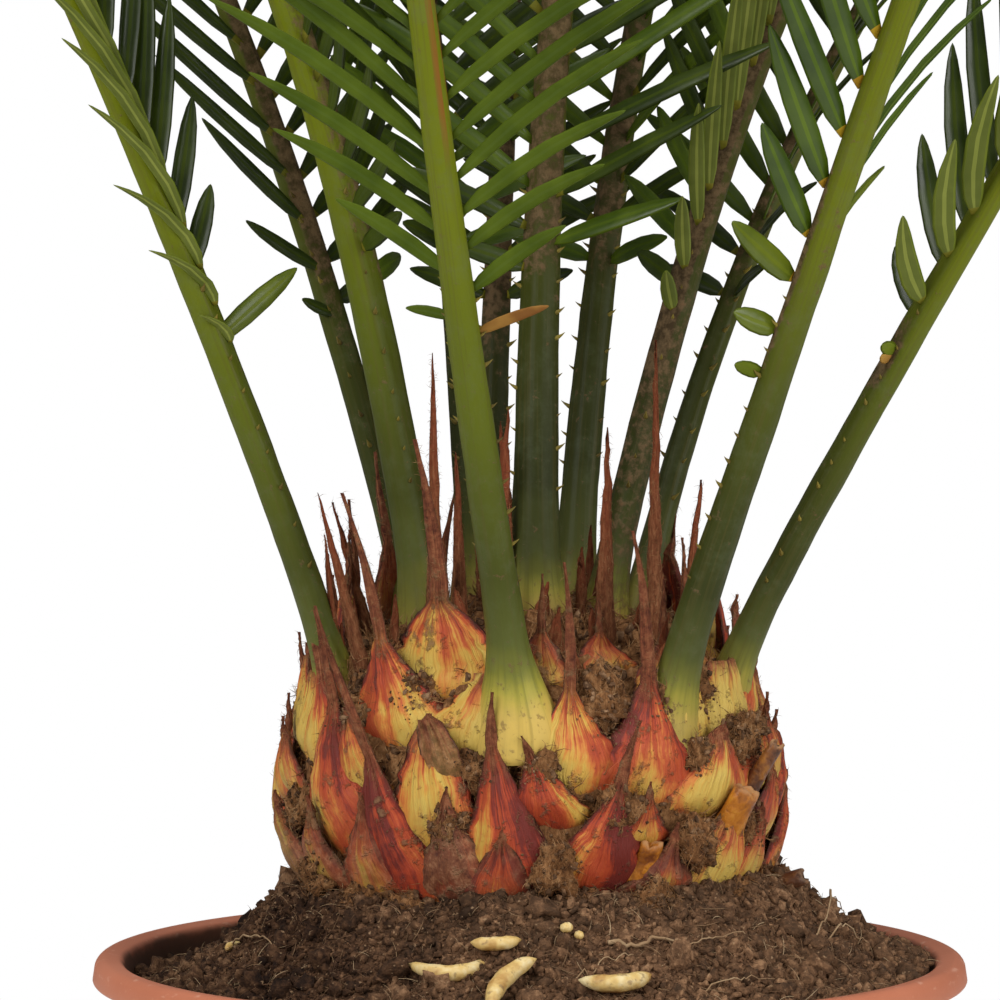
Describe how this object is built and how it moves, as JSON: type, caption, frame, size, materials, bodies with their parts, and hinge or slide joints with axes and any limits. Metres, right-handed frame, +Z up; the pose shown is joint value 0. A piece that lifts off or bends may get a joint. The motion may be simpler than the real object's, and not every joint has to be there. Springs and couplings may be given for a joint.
{
  "type": "potted sago palm",
  "caption": "Young sago palm with a squat trunk armoured by old leaf bases and a ring of arching feather fronds, rooted in soil in a round nursery pot.",
  "frame": {"origin": "middle of the pot's flat underside", "axes": "+Z up along the pot and trunk; the front of the plant faces -Y"},
  "size_m": [0.561, 0.5799, 0.6171],
  "materials": {
    "pot": "terracotta-coloured plastic, slightly satin and dusty",
    "soil": "moist dark peat with fibres and crumbs",
    "trunk": "striated yellow and red leaf bases with brown wool between them",
    "frond": "leathery leaflets, glossy above and paler beneath"
  },
  "bodies": {
    "root": {"pot": "pot", "soil": "soil", "trunk": "trunk", "frond_01": "frond", "frond_02": "frond", "frond_03": "frond", "frond_04": "frond", "frond_05": "frond", "frond_06": "frond", "frond_07": "frond", "frond_08": "frond", "frond_09": "frond", "frond_10": "frond", "frond_11": "frond", "frond_12": "frond"}
  },
  "joints": []
}
